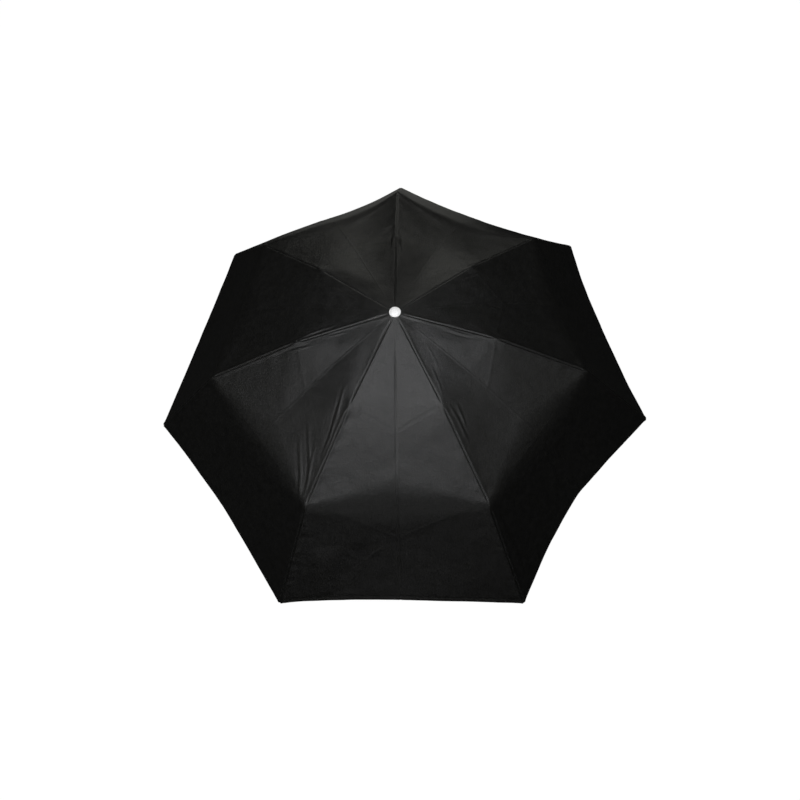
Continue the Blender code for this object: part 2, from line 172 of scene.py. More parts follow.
# Each pucker: its rib, its side, where it starts and where it ends (out along the rib, across from it), how
# wide it is, all in millimetres, and its height.
PUCKERS = (
    (4, 1, (246, 62), (300, 18), 3.0, 1.4),
    (4, 1, (219, 58), (273, 14), 2.6, 1.1),
    (4, 1, (157, 18), (232, 7), 2.4, 1.3),
    (4, 1, (138, 22), (182, 12), 2.4, 1.0),
    (4, 1, (238, 27), (294, 11), 2.4, 1.2),
    (4, -1, (150, 12), (168, 26), 2.6, 0.6),
    (3, -1, (161, 12), (216, 16), 2.4, 1.1),
    (3, -1, (165, 25), (198, 22), 2.4, 0.9),
    (3, -1, (66, 25), (112, 26), 2.0, 0.25),
    (3, -1, (98, 14), (140, 9), 2.2, 0.35),
    (3, -1, (322, 8), (450, 24), 3.4, 2.8),
    (3, -1, (352, 12), (432, 30), 3.0, 1.8),
    (3, -1, (349, 150), (428, 166), 3.6, 1.9),
    (3, -1, (418, 172), (462, 190), 3.4, 1.3),
    (3, -1, (333, 144), (374, 157), 3.0, 1.1),
    (2, 1, (360, 150), (420, 172), 3.6, -1.2),
    (5, 1, (152, 7), (97, 12), 2.4, 1.0),
    (5, -1, (168, 13), (136, 14), 2.4, 0.8),
    (5, -1, (104, 9), (78, 8), 2.2, 0.7),
    (6, -1, (228, 36), (169, 29), 2.4, 0.7),
    (6, -1, (160, 13), (138, 10), 2.2, 0.6),
    (6, -1, (122, 23), (72, 13), 2.2, 0.8),
    (2, 1, (79, 9), (118, 6), 2.4, 1.0),
    (2, -1, (157, 73), (186, 72), 2.2, 0.6),
    (4, -1, (409, 126), (380, 145), 2.6, 0.7),
    (1, 1, (120, 12), (170, 20), 2.4, 0.5),
    (4, -1, (385, 52), (470, 62), 26.0, 4.0),
    (0, 1, (128, 10), (160, 7), 2.2, 0.6),
    (0, -1, (132, 9), (168, 7), 2.2, 0.6),
)
# How deep each rib's seam lies and how far the cloth rolls up beside it, in metres.
SEAMS = (
    (0.0015, 0.0001),
    (0.0011, 0.0002),
    (0.0010, 0.0009),
    (0.0010, 0.0005),
    (0.0010, 0.0005),
    (0.0010, 0.0009),
    (0.0011, 0.0002),
)
DEEP_SEAM = 0.0021  # on the end ribs beside the front panel
SEAM_WIDTH = 0.0014
ROLL_OFF, ROLL_WIDTH = 0.0036, 0.0026  # where the cloth rolls up beside a seam
# How high the crease along a panel's middle and its inner and outer fold across stand, in metres. The front
# panel's are pressed in, all but its outer fold.
CREASES = {3: (-0.00042, -0.00040, 0.00034), 0: (0.00016, 0.00010, 0.00009), 6: (0.00020, 0.00010, 0.00009)}
USUAL_CREASES = (0.00024, 0.00022, 0.00020)
CREASE_WIDTH, FOLD_WIDTH = 0.0012, 0.0013


def bump(x, width):
    """A smooth hill, 1 high."""
    return np.exp(-((x / width) ** 2))


def puckers(rib, side, out, across):
    """Long small ridges, each with a hollow beside it."""
    height = np.zeros_like(out)
    for at_rib, at_side, start, end, width, high in PUCKERS:
        if (at_rib, at_side) != (rib, side):
            continue
        start, end = np.array(start) / 1000, np.array(end) / 1000
        length = np.linalg.norm(end - start)
        way = (end - start) / length
        run = (out - start[0]) * way[0] + (across - start[1]) * way[1]
        off = (across - start[1]) * way[0] - (out - start[0]) * way[1]
        off = off + 0.0012 * np.sin(run * 90 + rib)
        share = np.clip(run / length, 0, 1)
        ends = bump(run - share * length, 0.004) * np.sin(math.pi * (0.08 + 0.84 * share)) ** 0.8
        ridge = bump(off, width / 1000) - 0.55 * bump(off - width / 550, width / 1000)
        height += ends * ridge * high * PUCKER_HEIGHT
    return height


def rough(place, rib, side, across, apart):
    """The uneven surface of thin cloth, and the finer ripples beside its seams."""
    out = np.zeros(place.shape[:2])
    for i, row in enumerate(place):
        for j, point in enumerate(row):
            v = Vector(point)
            swell = noise.noise(v * 16) * 0.0008 + noise.noise(v * 45 + Vector((3, 7, 1))) * 0.0003
            near = math.exp(-(((across[i, j] - 0.008) / 0.013) ** 2)) * apart[i, j]
            if near > 0.01:
                swell += near * noise.noise(Vector((v.length * 210, v.z * 160, rib * 5.1 + side))) * 0.0006
            out[i, j] = swell
    return out


def lift(rib, side, place, zone, us, bs, across):
    """How far the cloth stands out of its smooth shape, in metres."""
    along_middle, *folds = CREASES.get(panel_of(rib, side), USUAL_CREASES)
    u = np.asarray(us)[:, None]
    groove, ridge = SEAMS[rib]
    rolled = ridge * (0.25 if zone == 0 else 1.0)
    if zone == 2 and rib in (3, 4):
        groove = DEEP_SEAM
    seam = rolled * bump(across - ROLL_OFF, ROLL_WIDTH) - groove * bump(across, SEAM_WIDTH)
    crease_from = across[:, -1:] - across
    crease = along_middle * bump(crease_from, CREASE_WIDTH)
    length = ZONE_LENGTH[zone]
    from_start = u * length if zone else length
    from_end = (1 - u) * length if zone < 2 else length
    # Over a knee or elbow the cloth lies flat and a little higher.
    at_joint = bump(np.minimum(from_start, from_end), 0.009)
    seam = seam * (1 - 0.95 * at_joint) + 0.0006 * at_joint * bump(across, 0.006)
    if zone == 0:
        seam = seam * np.minimum(1, u * 5)
        crease = crease * np.clip(u * 2.5 - 0.4, 0, 1)
    out = sum(ZONE_LENGTH[:zone]) + u * length + 0 * across
    fold = 0.0
    for start, high in zip(FOLDS, folds):
        beyond = out - start - across * FOLD_LEAN
        fold = fold + high * bump(beyond, FOLD_WIDTH) + 0.0001 * np.maximum(0, 1 - abs(beyond) / 0.012)
    fold = fold * np.minimum(1, across / 0.012)
    sag = (0.0, -0.0010, -0.0030)[zone] * np.sin(math.pi * u) * np.asarray(bs)
    held = np.minimum(1, across / 0.006)
    apart = np.clip(crease_from / 0.005, 0, 1)  # the two halves of a panel meet exactly along its middle
    own = apart * (seam + held * puckers(rib, side, out, across))
    return own + crease + fold + sag + held * rough(place, rib, side, across, apart)


# --- Building the cloth ----------------------------------------------------------------------

# The three zones of a strip: the body it rides, the CAD piece it rests on, its slope and its rows.
ZONES = (
    ("rib_top", "top_rib", TOP_SLOPE, 48),
    ("rib_mid", "mid_rib", MID_SLOPE, 60),
    ("rib_end", "end_rib", END_SLOPE, 68),
)


def panel_of(rib, side):
    """The panel on one side of a rib."""
    return rib if side > 0 else (rib - 1) % RIBS


def spread_across():
    """Shares from the seam to the middle, closer together at both. Every strip has the same ones."""
    seam = [0.0, 0.005, 0.01, 0.017, 0.026, 0.038, 0.052]
    between = [*np.arange(0.07, 0.30, 0.018), *np.arange(0.31, 0.85, 0.032), *np.arange(0.862, 0.95, 0.016)]
    middle = [0.958, 0.975, 0.988, 1.0]
    return [float(b) for b in seam + between + middle]


def rib_turn(rib):
    """Ribs are counted clockwise from the one at the back."""
    return math.pi / 2 - 2 * math.pi * rib / RIBS


def to_row(p, rib, side):
    """From the plane of a rib to the frame of the CAD."""
    t = rib_turn(rib)
    p = np.asarray(p)
    x, y = p[..., 0], p[..., 1] * -side
    turned_x = x * math.cos(t) - y * math.sin(t)
    turned_y = x * math.sin(t) + y * math.cos(t)
    return np.stack([turned_x, turned_y, p[..., 2]], axis=-1)


def rows_along(zone, length):
    """Shares along a zone, with the rows of the hem and its stitch line at the end of the last."""
    rows = ZONES[zone][3]
    if zone < 2:
        return list(np.linspace(0, 1, rows + 1))
    edge = HEM_WIDTH / length
    return list(np.linspace(0, 1 - edge * 1.25, rows - 4)) + [1 - edge, 1 - edge * 0.8, 1 - edge * 0.4, 1]


def cloth_mesh(name, grid, normals, flat, side, cloth):
    """One layer of faces over a grid of points, with the flat cloth's own map."""
    count_u, count_b = grid.shape[:2]
    faces = []
    for i in range(count_u - 1):
        for j in range(count_b - 1):
            a = i * count_b + j
            face = [a, a + 1, a + count_b + 1, a + count_b]
            faces.append(face if side > 0 else face[::-1])
    mesh = bpy.data.meshes.new(name)
    mesh.from_pydata(grid.reshape(-1, 3).tolist(), [], faces)
    mesh.polygons.foreach_set("use_smooth", [True] * len(faces))
    mesh.normals_split_custom_set_from_vertices(normals.reshape(-1, 3).tolist())
    mesh.materials.append(cloth)
    uv = mesh.uv_layers.new(name="cloth")
    index = np.zeros(len(mesh.loops), np.int32)
    mesh.loops.foreach_get("vertex_index", index)
    uv.data.foreach_set("uv", flat.reshape(-1, 2)[index].ravel())
    return mesh


def make_piece(rib, side, zone, cloth):
    """One strip of the canopy: half a panel over one section of its rib."""
    half = Half(side, panel_of(rib, side))
    length = np.linalg.norm(half.p[zone + 1] - half.p[zone])
    us, bs = rows_along(zone, length), spread_across()
    smooth_cloth = half.surface(zone, us, bs)
    width = np.linalg.norm(smooth_cloth[:, -1] - smooth_cloth[:, 0], axis=-1)
    across = width[:, None] * np.array(bs)
    place = to_row(smooth_cloth, rib, side)
    raised = lift(rib, side, place, zone, us, bs, across) - half.sagging(zone, us, bs)
    grid = place + unit(place - HEART) * raised[..., None]
    if zone == 2:
        grid = hem(grid)
    turned_under = len(grid) - len(us)
    us = np.array(us + [us[-1] - 0.01 * n for n in range(1, turned_under + 1)])
    across = np.concatenate([across, np.repeat(across[-1:], turned_under, axis=0)])
    start = (0.0, TOP_RIB, TOP_RIB + MID_RIB)[zone]
    flat = np.stack([side * across, start + us[:, None] * length + 0 * across], axis=-1)
    name = f"canopy_{rib}_{'ab'[side > 0]}_{zone}"
    mesh = cloth_mesh(name, grid, normals_of(grid, rib, side), flat, side, cloth)
    obj = bpy.data.objects.new(name, mesh)
    bpy.context.scene.collection.objects.link(obj)
    return obj, half, (float(width[-1]), float(length) * FLAT_LENGTH)


def hem(grid):
    """Sinks a stitch line into the last rows and turns the edge under."""
    out = unit(grid - HEART)
    grid = grid.copy()
    grid[-4] -= out[-4] * 0.0004
    grid[-3] += out[-3] * 0.0001
    down = -out[-1]
    back = unit(grid[-3] - grid[-1])
    under = [(0.0006, 0.0), (0.0011, 0.0006), (0.0010, 0.0062)]  # how far below the edge and back from it
    extra = [grid[-1] + down * deep + back * far for deep, far in under]
    return np.concatenate([grid, np.array(extra)])


def normals_of(grid, rib, side):
    """The cloth's normals. Along a panel's middle they have no part across it, so its halves shade as one."""
    du = np.gradient(grid, axis=0)
    db = np.gradient(grid, axis=1)
    n = np.cross(db, du) if side > 0 else np.cross(du, db)
    outward = grid - HEART
    flip = np.sign((n * outward).sum(-1, keepdims=True))
    flip[-3:] = flip[-4]
    n = n * flip
    n /= np.maximum(np.linalg.norm(n, axis=-1, keepdims=True), 1e-12)
    t = rib_turn(rib) - side * BETA
    across = np.array([-math.sin(t), math.cos(t), 0.0])
    edge = n[:, -1] - (n[:, -1] @ across)[:, None] * across
    n[:, -1] = edge / np.linalg.norm(edge, axis=-1, keepdims=True)
    return n


# --- Materials -------------------------------------------------------------------------------


class Nodes:
    """A material's node tree, with short ways to add, link and set its nodes."""

    def __init__(self, name):
        self.made = bpy.data.materials.new(name)
        self.made.use_nodes = True
        self.tree = self.made.node_tree
        self.shader = self.tree.nodes["Principled BSDF"]

    def add(self, kind, **settings):
        node = self.tree.nodes.new(kind)
        for key, value in settings.items():
            if key in node.inputs.keys():
                node.inputs[key].default_value = value
            else:
                setattr(node, key, value)
        return node

    def link(self, a, out, b, into):
        self.tree.links.new(a.outputs[out], b.inputs[into])

    def set(self, **values):
        for key, value in values.items():
            self.shader.inputs[key.replace("_", " ")].default_value = value

    def ramp(self, source, out, stops, into):
        """Drives one input of the shader between two values."""
        ramp = self.add("ShaderNodeValToRGB")
        for element, (position, colour) in zip(ramp.color_ramp.elements, stops):
            element.position = position
            element.color = (*colour, 1)
        self.link(source, out, ramp, "Fac")
        self.link(ramp, "Color", self.shader, into)


def grey(v):
    return (v, v, v)


def cloth_material():
    """Thin black cloth: mottled, finely crinkled, and woven along its own flat map."""
    m = Nodes("canopy_cloth")
    where = m.add("ShaderNodeTexCoord")
    mottle = m.add("ShaderNodeTexNoise", Scale=95.0, Detail=5.0, Roughness=0.65)
    m.link(where, "Object", mottle, "Vector")
    m.ramp(mottle, "Fac", [(0.3, (0.0050, 0.0050, 0.0046)), (0.72, (0.0086, 0.0086, 0.0080))], "Base Color")
    m.ramp(mottle, "Fac", [(0.3, grey(0.36)), (0.75, grey(0.44))], "Roughness")
    warp = m.add("ShaderNodeTexWave", Scale=450.0, Distortion=0.6, bands_direction="X")
    weft = m.add("ShaderNodeTexWave", Scale=450.0, Distortion=0.6, bands_direction="Y")
    uv = m.add("ShaderNodeUVMap", uv_map="cloth")
    m.link(uv, "UV", warp, "Vector")
    m.link(uv, "UV", weft, "Vector")
    threads = m.add("ShaderNodeMath", operation="MAXIMUM")
    m.tree.links.new(warp.outputs["Fac"], threads.inputs[0])
    m.tree.links.new(weft.outputs["Fac"], threads.inputs[1])
    fine = m.add("ShaderNodeBump", Strength=0.4, Distance=0.0001)
    m.tree.links.new(threads.outputs[0], fine.inputs["Height"])
    crinkle = m.add("ShaderNodeTexNoise", Scale=150.0, Detail=6.0, Roughness=0.7)
    m.link(where, "Object", crinkle, "Vector")
    coarse = m.add("ShaderNodeBump", Strength=0.7, Distance=0.0006)
    m.link(crinkle, "Fac", coarse, "Height")
    m.link(fine, "Normal", coarse, "Normal")
    m.link(coarse, "Normal", m.shader, "Normal")
    m.set(Specular_IOR_Level=0.5)
    return m.made


def plain_material(name, colour, metallic, roughness, grain, depth):
    """Plastic, rubber or thread, with a fine grain."""
    m = Nodes(name)
    where = m.add("ShaderNodeTexCoord")
    n = m.add("ShaderNodeTexNoise", Scale=grain, Detail=5.0, Roughness=0.6)
    m.link(where, "Object", n, "Vector")
    low = tuple(c * 0.8 for c in colour)
    high = tuple(min(1, c * 1.15) for c in colour)
    m.ramp(n, "Fac", [(0.3, low), (0.7, high)], "Base Color")
    m.ramp(n, "Fac", [(0.3, grey(roughness * 0.85)), (0.7, grey(min(1, roughness * 1.2)))], "Roughness")
    b = m.add("ShaderNodeBump", Strength=0.3, Distance=depth)
    m.link(n, "Fac", b, "Height")
    m.link(b, "Normal", m.shader, "Normal")
    m.set(Metallic=metallic)
    return m.made


def metal_material(name, colour, metallic, roughness):
    """Metal with worn patches and fine scratches."""
    m = Nodes(name)
    where = m.add("ShaderNodeTexCoord")
    scratch = m.add("ShaderNodeTexNoise", Scale=700.0, Detail=4.0, Roughness=0.6)
    patch = m.add("ShaderNodeTexNoise", Scale=60.0, Detail=5.0, Roughness=0.6)
    m.link(where, "Object", scratch, "Vector")
    m.link(where, "Object", patch, "Vector")
    low, high = (tuple(c * share for c in colour) for share in (0.8, 1.15))
    m.ramp(patch, "Fac", [(0.3, low), (0.7, high)], "Base Color")
    m.ramp(patch, "Fac", [(0.3, grey(roughness * 0.8)), (0.7, grey(roughness * 1.3))], "Roughness")
    b = m.add("ShaderNodeBump", Strength=0.2, Distance=0.00005)
    m.link(scratch, "Fac", b, "Height")
    m.link(b, "Normal", m.shader, "Normal")
    m.set(Metallic=metallic)
    return m.made


# --- The canopy ------------------------------------------------------------------------------


def make_canopy():
    """Six strips for each rib: a half panel on either side, over each of the rib's three sections."""
    cloth = cloth_material()
    for rib in range(RIBS):
        for side in (1, -1):
            for zone in range(3):
                obj, half, (wide, long) = make_piece(rib, side, zone, cloth)
                body, rib_piece = ZONES[zone][:2]
                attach(obj, f"{body}_{rib}")
                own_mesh(obj)
                if zone == 1:
                    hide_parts(f"canopy_gore_{panel_of(rib, side)}")


# --- The metal and plastic pieces ------------------------------------------------------------


def link_piece(name, mesh, material, body, slot, *nodes):
    """Puts a mesh in the scene as a piece that rides a body and stands for CAD nodes."""
    obj = bpy.data.objects.new(name, mesh)
    bpy.context.scene.collection.objects.link(obj)
    mesh.materials.clear()
    mesh.materials.append(material)
    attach(obj, body)
    if nodes:
        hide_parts(*nodes)
    return obj


def mesh_from(bm, name):
    mesh = bpy.data.meshes.new(name)
    bm.to_mesh(mesh)
    bm.free()
    return mesh


def smooth(mesh, angle=32):
    mesh.polygons.foreach_set("use_smooth", [True] * len(mesh.polygons))
    mesh.set_sharp_from_angle(angle=math.radians(angle))


def refine(node, material, slot, width=0.00018):
    """A copy of a CAD node with its facets merged, its edges softened and its curves smooth."""
    source = frame["nodes"][node]
    bm = bmesh.new()
    bm.from_mesh(source.data)
    bmesh.ops.remove_doubles(bm, verts=bm.verts, dist=2e-6)
    bmesh.ops.dissolve_limit(bm, angle_limit=math.radians(1), verts=bm.verts, edges=bm.edges)
    if width:
        edges = [e for e in bm.edges if len(e.link_faces) == 2 and e.calc_face_angle(0) > math.radians(50)]
        bmesh.ops.bevel(
            bm, geom=edges, offset=width, affect="EDGES", clamp_overlap=True, profile=0.6, segments=1
        )
    mesh = mesh_from(bm, node + "_finished")
    smooth(mesh)
    body = next(b for b, nodes in frame["record"]["behaviour"]["bodies"].items() if node in nodes)
    return link_piece(node + "_finished", mesh, material, body, slot, node)


def turned(name, profile, material, body, slot, *nodes, steps=72, wave=None):
    """A piece turned about the shaft, from a (radius, height) outline. wave adds to the radius."""
    bm = bmesh.new()
    rings = []
    for r, z in profile:
        if r < 1e-7:
            rings.append([bm.verts.new((0, 0, z))])
            continue
        ring = []
        for n in range(steps):
            t = 2 * math.pi * n / steps
            rr = r + (wave(t, r, z) if wave else 0)
            ring.append(bm.verts.new((rr * math.cos(t), rr * math.sin(t), z)))
        rings.append(ring)
    pairs = list(zip(rings, rings[1:]))
    if profile[0][0] > 1e-7 and profile[-1][0] > 1e-7:
        pairs.append((rings[-1], rings[0]))
    for low, high in pairs:
        for n in range(steps):
            m = (n + 1) % steps
            face = [low[n % len(low)], low[m % len(low)], high[m % len(high)], high[n % len(high)]]
            face = list(dict.fromkeys(face))
            if len(face) > 2:
                bm.faces.new(face)
    bmesh.ops.recalc_face_normals(bm, faces=bm.faces)
    mesh = mesh_from(bm, name)
    smooth(mesh, 40)
    return link_piece(name, mesh, material, body, slot, *nodes)


def rounded(points, radius, steps=4):
    """An outline whose inner corners are rounded off."""
    points = [np.array(p, float) for p in points]
    out = [tuple(points[0])]
    for a, p, b in zip(points, points[1:], points[2:]):
        to_a, to_b = a - p, b - p
        reach = min(radius, np.linalg.norm(to_a) * 0.45, np.linalg.norm(to_b) * 0.45)
        start, end = p + unit(to_a) * reach, p + unit(to_b) * reach
        for n in range(steps + 1):
            t = n / steps
            out.append(tuple((1 - t) ** 2 * start + 2 * t * (1 - t) * p + t * t * end))
    out.append(tuple(points[-1]))
    return out


def tube_along(name, path, radius, material, body, slot, sides=10, closed=False):
    """A round wire or cord through a row of points."""
    path = [Vector(p) for p in path]
    bm = bmesh.new()
    rings = []
    normal = None
    for n, place in enumerate(path):
        ahead = path[(n + 1) % len(path)] if closed or n + 1 < len(path) else place + (place - path[n - 1])
        behind = path[n - 1] if closed or n else place - (path[1] - place)
        way = (ahead - behind).normalized()
        normal = way.orthogonal() if normal is None else normal - way * normal.dot(way)
        normal.normalize()
        other = way.cross(normal)
        ring = [
            bm.verts.new(place + radius * (math.cos(t) * normal + math.sin(t) * other))
            for t in (2 * math.pi * k / sides for k in range(sides))
        ]
        rings.append(ring)
    pairs = list(zip(rings, rings[1:])) + ([(rings[-1], rings[0])] if closed else [])
    for a, b in pairs:
        for k in range(sides):
            bm.faces.new([a[k], a[(k + 1) % sides], b[(k + 1) % sides], b[k]])
    if not closed:
        bm.faces.new(rings[0][::-1])
        bm.faces.new(rings[-1])
    bmesh.ops.recalc_face_normals(bm, faces=bm.faces)
    mesh = mesh_from(bm, name)
    smooth(mesh, 50)
    return link_piece(name, mesh, material, body, slot)


def make_cap(silver):
    """The domed cap on the crown, with a rolled rim and a step under its dome."""
    z = CROWN_Z
    profile = [(0.0029, z + 0.0054), (0.0094, z + 0.0054), (0.00995, z + 0.0057), (0.01, z + 0.0064)]
    profile += [(0.00975, z + 0.0072), (0.0090, z + 0.0079), (0.0086, z + 0.0079), (0.0078, z + 0.0086)]
    profile += [(0.0060, z + 0.0093), (0.0040, z + 0.0098), (0.0020, z + 0.0100), (0, z + 0.0101)]
    turned("cap_dome", rounded(profile, 0.0008, 3), silver, "shaft_top", "silver_cap", "cap", steps=64)


def make_shaft(steel):
    """Three drawn tubes, each with a rounded lip and a groove at its foot and four shallow flutes."""
    for name, body, outer, inner, low, high in (
        ("top_tube", "shaft_top", 0.0055, 0.0050, CROWN_Z - 0.2, CROWN_Z - 0.0043),
        ("middle_tube", "shaft_middle", 0.0047, 0.0042, CROWN_Z - 0.368, CROWN_Z - 0.178),
        ("lower_tube", "handle", 0.0039, 0.0034, CROWN_Z - 0.54, CROWN_Z - 0.346),
    ):
        lip, groove = 0.0004, outer - 0.00018
        profile = [(inner, low), (outer - lip, low), (outer, low + lip), (outer, low + 0.003)]
        profile += [(groove, low + 0.0036), (groove, low + 0.0046), (outer, low + 0.0052)]
        profile += [(outer, low + (high - low) * n / 6) for n in range(1, 6)]
        profile += [(outer, high - lip), (outer - lip, high), (inner, high)]

        def flutes(t, r, z, outer=outer, low=low, high=high):
            if r < outer - 0.0001 or z < low + 0.008 or z > high - 0.006:
                return 0.0
            return -0.00016 * max(0.0, math.cos(4 * t)) ** 6

        turned(name + "_drawn", profile, steel, body, "bright_steel", name, steps=96, wave=flutes)


def make_handle(rubber, plastic):
    """The grip, with seven grip grooves round its lower half, and its end cap."""
    grooves = []
    for n in range(7):
        z = 0.0105 + 0.0026 * n
        grooves += [(z, 0.0), (z + 0.0005, -0.00045), (z + 0.0011, -0.00045), (z + 0.0016, 0.0)]
    shape = [(0.0053, 0.0156), (0.0085, 0.0163), (0.014, 0.0169), (0.028, 0.0175)]  # (height, radius)
    shape += [(0.040, 0.0174), (0.050, 0.0166), (0.0545, 0.0157), (0.0575, 0.01475)]
    shape += [(0.0600, 0.01310), (0.0614, 0.0110), (0.0620, 0.0090)]
    heights, radii = zip(*shape)
    rows = sorted({*heights, *(g[0] for g in grooves), *np.linspace(0.03, 0.054, 9)})
    dip = dict(grooves)
    outer = [(float(np.interp(z, heights, radii)) + dip.get(z, 0.0), z) for z in rows]
    profile = [(0.0120, 0.0165), (0.0120, 0.0053), *outer, (0.0042, 0.0620), (0.0042, 0.0217)]
    names = ("handle", "handle_rubber", "handle_grip")
    grip = turned("handle_grip_moulded", profile, rubber, *names, steps=96, wave=pocket_dip)
    pocket = [(0.0053, 0.0083, 0.0022, -0.03), (0.0053, 0.0083, 0.0022, -0.0074)]
    carve(grip, stacked("pocket", pocket, BUTTON_Z))
    cap = [(0, 0.011), (0.0117, 0.011), (0.0117, 0.005), (0.0154, 0.005)]
    cap += [(0.0154, 0.0014), (0.0151, 0.0006), (0.0142, 0.0)]
    cap += [(0.0112, 0.0), (0.0108, 0.0004), (0.0104, 0.0), (0, 0.0)]
    turned("handle_end_moulded", cap[::-1], plastic, "handle", "black_plastic", "handle_end_cap", steps=72)


def pocket_dip(t, r, z):
    """A dished oval round the button, on the front of the grip."""
    if r < 0.0125 or z < 0.020 or z > 0.060:
        return 0.0
    side = math.remainder(t + math.pi / 2, 2 * math.pi) * r
    near = math.sqrt((side / 0.0078) ** 2 + ((z - BUTTON_Z) / 0.0112) ** 2)
    return -0.0009 * max(0.0, 1 - max(0.0, near - 0.75) / 0.4) if near < 1.15 else 0.0


def rounded_box(x_half, z_half, radius, steps=6):
    """Points round a rectangle with rounded corners, as (x, z)."""
    found = []
    for cx, cz, start in ((1, 1, 0), (-1, 1, 90), (-1, -1, 180), (1, -1, 270)):
        for n in range(steps + 1):
            t = math.radians(start + 90 * n / steps)
            x = cx * (x_half - radius) + radius * math.cos(t)
            found.append((x, cz * (z_half - radius) + radius * math.sin(t)))
    return found


def stacked(name, layers, centre_z):
    """Rings of one rounded outline, each (half width, half height, corner radius, y), closed at both ends."""
    bm = bmesh.new()
    rings = []
    for x_half, z_half, radius, y in layers:
        rings.append([bm.verts.new((x, y, centre_z + z)) for x, z in rounded_box(x_half, z_half, radius)])
    for a, b in zip(rings, rings[1:]):
        for k in range(len(a)):
            m = (k + 1) % len(a)
            bm.faces.new([a[k], a[m], b[m], b[k]])
    bm.faces.new(rings[0])
    bm.faces.new(rings[-1][::-1])
    bmesh.ops.recalc_face_normals(bm, faces=bm.faces)
    return mesh_from(bm, name)


def carve(obj, mesh):
    """Cuts a closed mesh out of a piece."""
    cutter = bpy.data.objects.new("cutter", mesh)
    bpy.context.scene.collection.objects.link(cutter)
    step = obj.modifiers.new("cut", "BOOLEAN")
    step.operation, step.solver, step.object = "DIFFERENCE", "EXACT", cutter
    bpy.context.view_layer.update()
    done = bpy.data.meshes.new_from_object(obj.evaluated_get(bpy.context.evaluated_depsgraph_get()))
    obj.modifiers.clear()
    obj.data = done
    bpy.data.objects.remove(cutter)
    smooth(done, 40)


def make_button(plastic, chrome):
    """The key, with two low ridges round its face, and the bright bezel round its pocket."""
    layers = [(0.005, 0.008, 0.002, -0.0116), (0.005, 0.008, 0.002, -0.0182)]
    layers += [(0.0049, 0.0079, 0.002, -0.0187), (0.0045, 0.0075, 0.0018, -0.0190)]
    layers += [(0.0042, 0.0072, 0.0017, -0.0190), (0.0039, 0.0069, 0.0016, -0.0187)]
    layers += [(0.0034, 0.0063, 0.0014, -0.0187), (0.0031, 0.0060, 0.0013, -0.0189)]
    layers += [(0.0027, 0.0056, 0.0011, -0.0189), (0.0024, 0.0053, 0.0010, -0.0187)]
    layers.append((0.0010, 0.0036, 0.0005, -0.0186))
    mesh = stacked("button_key", layers, BUTTON_Z)
    smooth(mesh, 50)
    link_piece("button_key", mesh, plastic, "button", "black_plastic", "push_button")
    rim = rounded_box(0.0058, 0.0088, 0.0027)
    ring = [(x, -math.sqrt(GRIP_R**2 - x * x) + 0.0002, BUTTON_Z + h) for x, h in rim]
    tube_along("button_bezel", ring, 0.0005, chrome, "handle", "bright_steel", sides=8, closed=True)


def make_ties(thread):
    """The thread that holds the cloth to the ribs, at each knee and elbow and half way along the end ribs."""
    for rib in range(RIBS):
        for name, start, slope, run, rise, body, half_w, up, down in (
            ("knee_tie", CROWN, TOP_SLOPE, TOP_RIB - 0.022, 0.0, "rib_top", 0.0023, 0.0039, -0.0019),
            ("elbow_tie", KNEE, MID_SLOPE, MID_RIB - 0.016, -KNEE_UP, "rib_mid", 0.0023, 0.0039, -0.0017),
            ("end_tie", ELBOW, END_SLOPE, END_RIB * 0.5, ELBOW_TO_ROD, "rib_end", 0.0013, 0.0040, -0.0013),
        ):
            for turn in range(3):
                loop = []
                for n in range(12):
                    t = 2 * math.pi * n / 12
                    y = half_w * math.copysign(abs(math.cos(t)) ** 0.6, math.cos(t))
                    bulge = math.copysign(abs(math.sin(t)) ** 0.6, math.sin(t))
                    h = (up + down) / 2 + (up - down) / 2 * bulge
                    r, z = along(start, slope, run + 0.0006 * turn + 0.0002 * math.cos(3 * t), rise + h)
                    loop.append(to_row(np.array([r, y, z]), rib, 1))
                place = (f"{body}_{rib}", "canopy_cloth")
                tube_along(f"{name}_{rib}_{turn}", loop, 0.00022, thread, *place, sides=5, closed=True)


def make_control_wires(steel):
    """The thin spring wire along each mid rib that pulls the end rib out."""
    for rib in range(RIBS):
        path = []
        for n in range(19):
            share = n / 18
            rise = -KNEE_UP - 0.0024 - 0.0016 * math.sin(math.pi * share)
            r, z = along(KNEE, MID_SLOPE, 0.004 + (MID_RIB - 0.009) * share, rise)
            path.append(to_row(np.array([r, 0.0, z]), rib, 1))
        tube_along(f"control_wire_{rib}", path, 0.0004, steel, f"rib_mid_{rib}", "blackened_steel", sides=6)


def make_runner_wire(chrome):
    """The wire ring in the runner's slots."""
    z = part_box("runner")[1][2] - 0.0035
    turns = [2 * math.pi * n / 84 for n in range(84)]
    path = [(0.010 * math.cos(t), 0.010 * math.sin(t), z) for t in turns]
    tube_along("runner_wire", path, 0.00045, chrome, "runner", "bright_steel", sides=8, closed=True)


